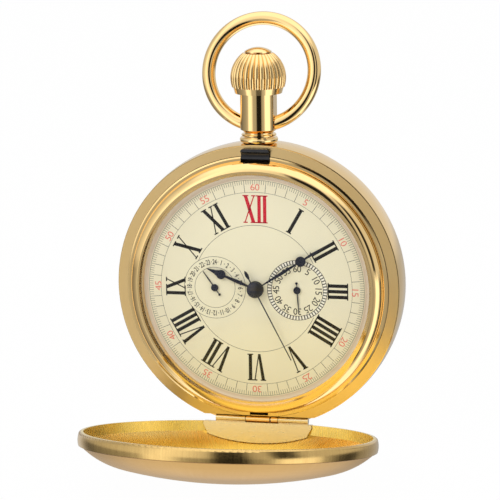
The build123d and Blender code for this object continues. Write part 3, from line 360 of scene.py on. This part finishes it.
# tones: low and high colour; noise: scale and detail; rough: base and spread; bump: strength and depth (mm)
metals = {
    "bluedSteel": {"tones": ((0.018, 0.020, 0.034), (0.035, 0.040, 0.062)), "toneNoise": (320.0, 2.0),
                   "grainNoise": (3200.0, 2.0), "metal": 0.85, "rough": (0.30, 0.10), "bump": (0.08, 0.003)},
    "bareSteel": {"tones": ((0.42, 0.42, 0.43), (0.60, 0.60, 0.61)), "stretch": (0.3, 1.0, 1.0),
                  "grainNoise": (1800.0, 3.0), "metal": 1.0, "rough": (0.22, 0.12), "bump": (0.15, 0.004)},
    # painted shade: near-black tones for the lid catch, standing in for the shade and dark reflection in its
    # window
    "paintedShadeSteel": {"tones": ((0.012, 0.012, 0.014), (0.03, 0.03, 0.032)),
                  "grainNoise": (900.0, 3.0), "metal": 0.6, "rough": (0.12, 0.08), "bump": (0.1, 0.004)},
    "frostedGilt": {"tones": ((0.5904, 0.4428, 0.205), (0.72, 0.54, 0.25)), "toneNoise": (120.0, 3.0),
                    "grainNoise": (2200.0, 3.0), "metal": 1.0, "rough": (0.38, 0.14), "bump": (0.3, 0.008)},
    "turnedBrass": {"tones": ((0.5412, 0.3936, 0.164), (0.66, 0.48, 0.20)), "toneNoise": (120.0, 3.0),
                    "grainNoise": (2200.0, 3.0), "metal": 1.0, "rough": (0.38, 0.14), "bump": (0.3, 0.008)},
}


def grainedMetal(name):
    metal = metals[name]
    g = newGraph(name)
    place = g.place()
    grainPlace = g.scaled(place, metal["stretch"]) if "stretch" in metal else place
    grain = g.noise(grainPlace, *metal["grainNoise"])
    tone = g.noise(place, *metal["toneNoise"]) if "toneNoise" in metal else grain
    rough, spread = metal["rough"]
    strength, deep = metal["bump"]
    return g.finish({
        "Base Color": g.blend(tone, *metal["tones"]),
        "Metallic": metal["metal"],
        "Roughness": rough + grain * spread,
        "Normal": g.bump(grain, strength, deep * mm),
    })


def ruby():
    g = newGraph("ruby")
    tone = g.noise(g.place(), 600.0, 2.0)
    return g.finish({
        "Base Color": g.blend(tone, (0.42, 0.01, 0.05), (0.62, 0.03, 0.12)),
        "Roughness": 0.06 + tone * 0.04,
    })


glass = {"ior": 1.5, "rough": 0.02, "smudge": 0.02, "smudgeScale": 160.0, "mirror": 0.28}


def clearGlass():
    g = newGraph("clearGlass")
    smudge = g.noise(g.place(), glass["smudgeScale"], 3.0)
    mirror = g.node("ShaderNodeBsdfPrincipled", values={
        "Base Color": (1.0, 1.0, 1.0, 1.0), "Metallic": 1.0,
        "Roughness": glass["rough"] + smudge * glass["smudge"]})
    clear = g.node("ShaderNodeBsdfTransparent")
    edge = g.node("ShaderNodeFresnel", values={"IOR": glass["ior"]})
    mixed = g.node("ShaderNodeMixShader", values={0: edge * glass["mirror"], 1: clear, 2: mirror})
    g.node("ShaderNodeOutputMaterial", values={"Surface": mixed})
    return g.owner


def wear(material, *names):
    for name in names:
        data = nodes[name].data
        data.materials.clear()
        data.materials.append(material)


wear(polishedGold(), "pendant", "bow", "crown", "crown_cap", "case_back", "hinge_lug")
wear(bandGold(), "case_band", "bezel")
wear(lidGold(), "lid_shell")
wear(plateGold(), "lid_hinge_plate")
wear(clearGlass(), "crystal")
wear(dialEnamel(), "dial")
wear(grainedMetal("bluedSteel"), "hour_hand", "minute_hand", "sweep_seconds_hand", "day_hand",
     "small_seconds_hand", "case_screws", "bridge_screws", "ratchet_screw", "hairspring")
wear(grainedMetal("bareSteel"), "winding_stem", "winding_pinion", "stem_collar", "hinge_pin", "lid_spring",
     "crown_wheel_core", "click", "click_spring", "ratchet_wheel", "crown_wheel", "barrel_arbor",
     "mainspring", "sweep_arbor", "escape_wheel", "pallet_lever", "cannon_pinion")
# painted shade: the catch is made near black to stand for the shade in its window
wear(grainedMetal("paintedShadeSteel"), "lid_catch")
wear(grainedMetal("frostedGilt"), "mainplate", "barrel_bridge", "train_bridge", "balance_cock",
     "pallet_cock")
wear(grainedMetal("turnedBrass"), "casing_ring", "barrel_drum", "barrel_cover", "centre_wheel",
     "third_wheel", "fourth_wheel", "balance_wheel", "minute_wheel", "hour_wheel", "day_wheel")
wear(ruby(), "jewels")
print("finishes on", len(nodes), "CAD nodes")


# dial printing: thin prisms that stand on the enamel
class Print:
    # collects flat outlines (mm, x to the right and z up on the dial) into one thin mesh
    def __init__(self, name, material, rise=ink["rise"]):
        self.name, self.material, self.rise = name, material, rise
        self.bm = bmesh.new()

    def outline(self, points):
        front = dialFront - self.rise * mm
        back = dialFront + ink["sink"] * mm
        ahead = [self.bm.verts.new((x * mm, front, z * mm)) for x, z in points]
        behind = [self.bm.verts.new((x * mm, back, z * mm)) for x, z in points]
        self.bm.faces.new(ahead)
        self.bm.faces.new(behind[::-1])
        for i in range(len(points)):
            j = (i + 1) % len(points)
            self.bm.faces.new((ahead[j], ahead[i], behind[i], behind[j]))

    def ring(self, centre, inner, outer, start=0.0, end=360.0):
        # clock degrees; drawn as a strip of four-sided prisms
        whole = end - start == 360
        count = int((end - start) / ink["arcStep"])
        rows = []
        for k in range(count + (0 if whole else 1)):
            a = math.radians(start + (end - start) * k / count)
            rows.append([self.bm.verts.new(((centre[0] + r * math.sin(a)) * mm, dialFront + y * mm,
                                            (centre[1] + r * math.cos(a)) * mm))
                         for r, y in ((inner, -self.rise), (outer, -self.rise),
                                      (outer, ink["sink"]), (inner, ink["sink"]))])
        for k in range(count):
            here, there = rows[k], rows[(k + 1) % len(rows)]
            for i in range(4):
                j = (i + 1) % 4
                self.bm.faces.new((here[i], here[j], there[j], there[i]))
        if not whole:
            self.bm.faces.new(rows[0][::-1])
            self.bm.faces.new(rows[-1])

    def mark(self, centre, angle, inner, outer, width):
        # a radial stroke at a clock angle
        self.outline([turnTo(centre, angle, u, v) for u, v in (
            (-width / 2, inner), (width / 2, inner), (width / 2, outer), (-width / 2, outer))])

    def add(self, mesh):
        self.bm.from_mesh(mesh)

    def done(self, body="case"):
        bmesh.ops.recalc_face_normals(self.bm, faces=self.bm.faces)
        mesh = bpy.data.meshes.new(self.name)
        self.bm.to_mesh(mesh)
        self.bm.free()
        mesh.materials.append(self.material)
        made = bpy.data.objects.new(self.name, mesh)
        scene.collection.objects.link(made)
        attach(made, body)


def turnTo(centre, angle, u, v):
    # from a numeral's own axes (u clockwise, v outward) to the dial
    a = math.radians(angle)
    return (centre[0] + u * math.cos(a) + v * math.sin(a), centre[1] - u * math.sin(a) + v * math.cos(a))


def centreOf(joint):
    x, y, z = joints[joint]["pos_m"]
    return x / mm, z / mm


track = {"outer": 18.0, "tickInner": 17.32, "inner": 16.05, "thin": 0.05, "line": 0.07, "fine": 0.055,
         "perMinute": 5, "figures": 16.5, "figureOut": 0.38, "figureHeight": 1.08, "narrow": 1.12}
chapter = {"top": 15.45, "foot": 10.95, "stem": 0.56, "hair": 0.19, "pitch": 0.93, "serif": 0.20,
           "veeWidth": 1.80, "exWidth": 1.90}
innerCircle = {"radius": 10.55, "width": 0.06, "clear": 25.0}
hours = ["XII", "I", "II", "III", "IIII", "V", "VI", "VII", "VIII", "IX", "X", "XI"]
short = {0: (10.95, 15.55), 3: (11.95, 15.35), 9: (11.85, 15.2)}

blackPrint = Print("blackPrint", printedInk("blackInk", ink["black"]))
hairPrint = Print("hairPrint", printedInk("hairInk", ink["hair"]), ink["hairRise"])
redPrint = Print("redPrint", printedInk("redInk", ink["red"]))
rosePrint = Print("rosePrint", printedInk("roseInk", ink["rose"]))
whitePrint = Print("whitePrint", printedInk("whiteInk", ink["white"]), ink["whiteRise"])

for step in range(60 * track["perMinute"]):
    angle = step * 6.0 / track["perMinute"]
    hairPrint.mark((0, 0), angle, track["tickInner"], track["outer"], track["fine"])
for minute in range(60):
    if minute % 5:
        hairPrint.mark((0, 0), minute * 6.0, track["inner"], track["tickInner"], track["line"])
hairPrint.ring((0, 0), track["inner"] - track["thin"], track["inner"])
hairPrint.ring((0, 0), track["outer"], track["outer"] + track["thin"])
for side in (0, 180):  # the circle stops beside each subdial
    hairPrint.ring((0, 0), innerCircle["radius"], innerCircle["radius"] + innerCircle["width"],
                   side - 90 + innerCircle["clear"], side + 90 - innerCircle["clear"])


def drawHour(printer, word, angle, foot, top):
    widths = {"I": chapter["stem"], "V": chapter["veeWidth"], "X": chapter["exWidth"]}
    pitchGap = chapter["pitch"] - chapter["stem"]
    total = sum(widths[letter] for letter in word) + pitchGap * (len(word) - 1)
    at = -total / 2
    serif, hair = chapter["serif"], chapter["hair"]

    def shape(*points):
        printer.outline([turnTo((0, 0), angle, u, v) for u, v in points])

    def bar(left, right, level):
        shape((left - serif, level), (right + serif, level),
              (right + serif, level + hair), (left - serif, level + hair))

    for letter in word:
        width = widths[letter]
        left, right = at, at + width
        if letter == "I":
            shape((left, foot + hair * 0.5), (right, foot + hair * 0.5),
                  (right, top - hair * 0.5), (left, top - hair * 0.5))
            bar(left, right, foot)
            bar(left, right, top - hair)
        elif letter == "V":
            thick, middle = chapter["stem"] * 1.02, (left + right) / 2 + 0.1
            shape((left, top - hair * 0.5), (middle - thick * 0.45, foot), (middle + thick * 0.3, foot),
                  (left + thick, top - hair * 0.5))
            shape((right - hair, top - hair * 0.5), (middle - 0.05, foot), (middle + 0.12, foot),
                  (right, top - hair * 0.5))
            bar(left + 0.02, left + thick - 0.02, top - hair)
            bar(right - hair - 0.1, right + 0.1 - serif * 0.4, top - hair)
        else:
            thick = chapter["stem"] * 1.05
            shape((left, top - hair * 0.5), (right - thick, foot + hair * 0.5), (right, foot + hair * 0.5),
                  (left + thick, top - hair * 0.5))
            shape((right - hair - 0.1, top - hair * 0.5), (left + 0.1, foot + hair * 0.5),
                  (left + 0.1 + hair, foot + hair * 0.5), (right - 0.1, top - hair * 0.5))
            bar(left, left + thick, top - hair)
            bar(right - thick, right, foot)
            bar(right - hair - 0.25, right - 0.12, top - hair)
            bar(left + 0.12, left + hair + 0.25, foot)
        at = right + pitchGap


for hour, word in enumerate(hours):
    foot, top = short.get(hour, (chapter["foot"], chapter["top"]))
    drawHour(redPrint if hour == 0 else blackPrint, word, hour * 30.0, foot, top)
print("chapter ring drawn")


lettering = {"capHeight": 0.72, "spacing": 0.92, "curveSteps": 3}


def figure(printer, text, centre, angle, radius, height, narrow, weight=0.0):
    # a number as a thin prism, upright for a reader at the centre
    words = bpy.data.curves.new("figure", "FONT")
    words.body = text
    words.size = height * mm / lettering["capHeight"]
    words.align_x = "CENTER"
    words.align_y = "CENTER"
    words.space_character = lettering["spacing"]
    words.extrude = (printer.rise + ink["sink"]) * mm / 2
    words.offset = weight * mm
    words.resolution_u = lettering["curveSteps"]
    holder = bpy.data.objects.new("figure", words)
    mesh = bpy.data.meshes.new_from_object(holder)
    low = min(v.co.y for v in mesh.vertices)
    high = max(v.co.y for v in mesh.vertices)
    grow = height * mm / (high - low)
    a = math.radians(angle)
    middle = (printer.rise - ink["sink"]) * mm / 2
    for vertex in mesh.vertices:
        u = vertex.co.x * grow * narrow / mm
        v = (vertex.co.y - (low + high) / 2) * grow / mm + radius
        x, z = turnTo(centre, angle, u, v)
        vertex.co = (x * mm, dialFront - middle - vertex.co.z, z * mm)
    printer.add(mesh)
    bpy.data.objects.remove(holder)
    bpy.data.curves.remove(words)
    bpy.data.meshes.remove(mesh)


for five in range(12):
    out = track["figures"] + track["figureOut"] * abs(math.cos(math.radians(five * 30.0)))
    figure(rosePrint, str(five * 5 or 60), (0, 0), five * 30.0, out, track["figureHeight"],
           track["narrow"])

dayDial = {"outer": 5.19, "inner": 3.42, "line": 0.06, "figures": 4.3, "height": 0.85,
           "narrow": 0.66, "weight": 0.012, "dot": 0.07}
dayCentre = centreOf("day_turn")
hairPrint.ring(dayCentre, dayDial["outer"] - dayDial["line"], dayDial["outer"])
hairPrint.ring(dayCentre, dayDial["inner"] - dayDial["line"], dayDial["inner"])
for hour in range(24):
    figure(blackPrint, str(hour or 24), dayCentre, hour * 15.0, dayDial["figures"], dayDial["height"],
           dayDial["narrow"], dayDial["weight"])
    blackPrint.mark(dayCentre, hour * 15.0 + 7.5, dayDial["figures"] - dayDial["dot"],
                    dayDial["figures"] + dayDial["dot"], dayDial["dot"] * 1.6)

secondsDial = {"outer": 5.02, "inner": 4.36, "line": 0.08, "cell": 0.16, "figures": 3.55, "height": 1.10,
               "narrow": 0.95}
secondsCentre = centreOf("fourth_turn")
whitePrint.ring(secondsCentre, secondsDial["inner"], secondsDial["outer"] - secondsDial["line"])
blackPrint.ring(secondsCentre, secondsDial["outer"] - secondsDial["line"], secondsDial["outer"])
blackPrint.ring(secondsCentre, secondsDial["inner"] - secondsDial["line"], secondsDial["inner"])
for second in range(60):
    blackPrint.mark(secondsCentre, second * 6.0 + 3.0, secondsDial["inner"],
                    secondsDial["outer"] - secondsDial["line"], secondsDial["cell"])
for five in range(12):
    figure(blackPrint, str(five * 5 or 60), secondsCentre, five * 30.0, secondsDial["figures"],
           secondsDial["height"], secondsDial["narrow"])

for printer in (blackPrint, hairPrint, redPrint, rosePrint, whitePrint):
    printer.done()
print("dial printed")

# camera
view = {"azimuth": 12.735, "elevation": 12.013, "roll": -0.659, "distance": 434.07,
        "lens": 189.5497, "shift": (-0.021308, 0.068974)}


def setCamera():
    a, e, r = (math.radians(view[name]) for name in ("azimuth", "elevation", "roll"))
    back = Vector((math.sin(a) * math.cos(e), -math.cos(a) * math.cos(e), math.sin(e)))
    right = Vector((math.cos(a), math.sin(a), 0.0))
    up = back.cross(right)
    rolledRight = right * math.cos(r) + up * math.sin(r)
    rolledUp = up * math.cos(r) - right * math.sin(r)
    turn = Matrix((rolledRight, rolledUp, back)).transposed()
    data = bpy.data.cameras.new("camera")
    data.lens = view["lens"]
    data.shift_x, data.shift_y = view["shift"]
    data.clip_start = 0.01
    camera = bpy.data.objects.new("camera", data)
    scene.collection.objects.link(camera)
    spot = Vector(joints["crown_wind"]["pos_m"]) + back * view["distance"] * mm
    camera.matrix_world = Matrix.Translation(spot) @ turn.to_4x4()
    scene.camera = camera


setCamera()

# floor, lamps and world
floor = {"size": 3.0, "colour": (0.86, 0.86, 0.86), "rough": 0.8, "drop": 0.2, "whiteness": 0.985}


def makeFloor():
    low = cadBox[0][2] - floor["drop"] * mm
    bm = bmesh.new()
    bmesh.ops.create_grid(bm, x_segments=1, y_segments=1, size=floor["size"])
    mesh = bpy.data.meshes.new("floor")
    bm.to_mesh(mesh)
    bm.free()
    made = bpy.data.objects.new("floor", mesh)
    made.location = (0, 0, low)
    scene.collection.objects.link(made)
    g = newGraph("floorPaper")
    paper = g.node("ShaderNodeBsdfPrincipled", values={
        "Base Color": (*floor["colour"], 1), "Roughness": floor["rough"]})
    white = g.node("ShaderNodeEmission", values={"Color": (1, 1, 1, 1), "Strength": 1.0})
    path = g.node("ShaderNodeLightPath").out.node.outputs
    seen = Wire(g, path["Is Camera Ray"]) + Wire(g, path["Is Transmission Ray"])
    both = g.node("ShaderNodeMixShader", values={0: seen * floor["whiteness"], 1: paper, 2: white})
    clear = g.node("ShaderNodeBsdfTransparent")
    glossy = Wire(g, path["Is Glossy Ray"])
    g.node("ShaderNodeOutputMaterial", values={
        "Surface": g.node("ShaderNodeMixShader", values={0: glossy, 1: both, 2: clear})})
    mesh.materials.append(g.owner)


makeFloor()


def softbox(name, spot, aim, size, power, colour):
    data = bpy.data.lights.new(name, "AREA")
    data.shape = "RECTANGLE"
    data.size, data.size_y = size
    data.energy = power
    data.color = colour
    lamp = bpy.data.objects.new(name, data)
    scene.collection.objects.link(lamp)
    lamp.location = spot
    lamp.visible_glossy = False
    lamp.rotation_euler = (Vector(aim) - Vector(spot)).to_track_quat("-Z", "Y").to_euler()


lamps = {
    "keyLamp": ((-0.35, -0.55, 0.45), (0, 0, 0), (0.35, 0.35), 2.5, (1.0, 0.985, 0.96)),
    "fillLamp": ((0.50, -0.35, 0.12), (0, 0, 0), (0.30, 0.40), 1.2, (1.0, 0.99, 0.97)),
}
for name, setting in lamps.items():
    softbox(name, *setting)

# what polished metal sees, by azimuth from the front (degrees, right is positive)
studio = {
    "peak": 2.5, "ambient": 0.76, "white": 1.0, "zenith": 1.5, "poles": (0.58, 0.84), "rise": (-0.12, 0.02),
    "walls": (
        (-180, 0.50), (-140, 0.80), (-118, 0.12), (-104, 0.28), (-75, 0.42), (-58, 0.60), (-49, 1.60),
        (-32, 1.45), (-22, 0.55), (-3, 0.45), (2, 0.015), (27, 0.015), (31, 0.42), (46, 0.62), (54, 1.70),
        (84, 1.60), (90, 0.55), (102, 0.30), (106, 0.07), (124, 0.07), (132, 0.40), (167, 0.55), (180, 0.50)),
    "upper": (
        (-180, 0.80), (-110, 0.60), (-60, 1.00), (-40, 1.60), (-16, 1.20), (-2, 0.90), (3, 0.02), (26, 0.02),
        (31, 0.60), (44, 0.90), (50, 0.03), (66, 0.03), (73, 0.80), (100, 0.80), (180, 0.80)),
}


def makeWorld():
    world = bpy.data.worlds.new("studio")
    scene.world = world
    g = Graph(world)
    path = g.node("ShaderNodeLightPath").out.node.outputs
    seen = Wire(g, path["Is Camera Ray"]) + Wire(g, path["Is Transmission Ray"])
    glossy = Wire(g, path["Is Glossy Ray"])
    x, y, z = g.parts(g.node("ShaderNodeTexCoord", out=0))
    azimuth = g.node("ShaderNodeMath", {"operation": "ARCTAN2"}, {0: x, 1: 0 - y})
    peak = studio["peak"]  # keeps the ramp's colours under 1
    bands = []
    for name in ("walls", "upper"):
        stops = [((degrees + 180) / 360, (level / peak,) * 3) for degrees, level in studio[name]]
        turned = azimuth / math.tau + 0.5
        bands.append(g.node("ShaderNodeValToRGB", {"stops": stops}, {0: turned}) * peak)
    above = g.between(z, *studio["rise"])
    height = g.node("ShaderNodeMath", {"operation": "ABSOLUTE"}, {0: z})
    pole = g.between(height, *studio["poles"])
    level = (bands[0] * (1 - above) + bands[1] * above) * (1 - pole) + pole * studio["zenith"]
    strength = studio["ambient"] * (1 - seen) * (1 - glossy) + seen * studio["white"] + glossy * level
    light = g.node("ShaderNodeBackground", values={"Color": (1, 1, 1, 1), "Strength": strength})
    g.node("ShaderNodeOutputWorld", values={"Surface": light})


makeWorld()
print("camera and light set")
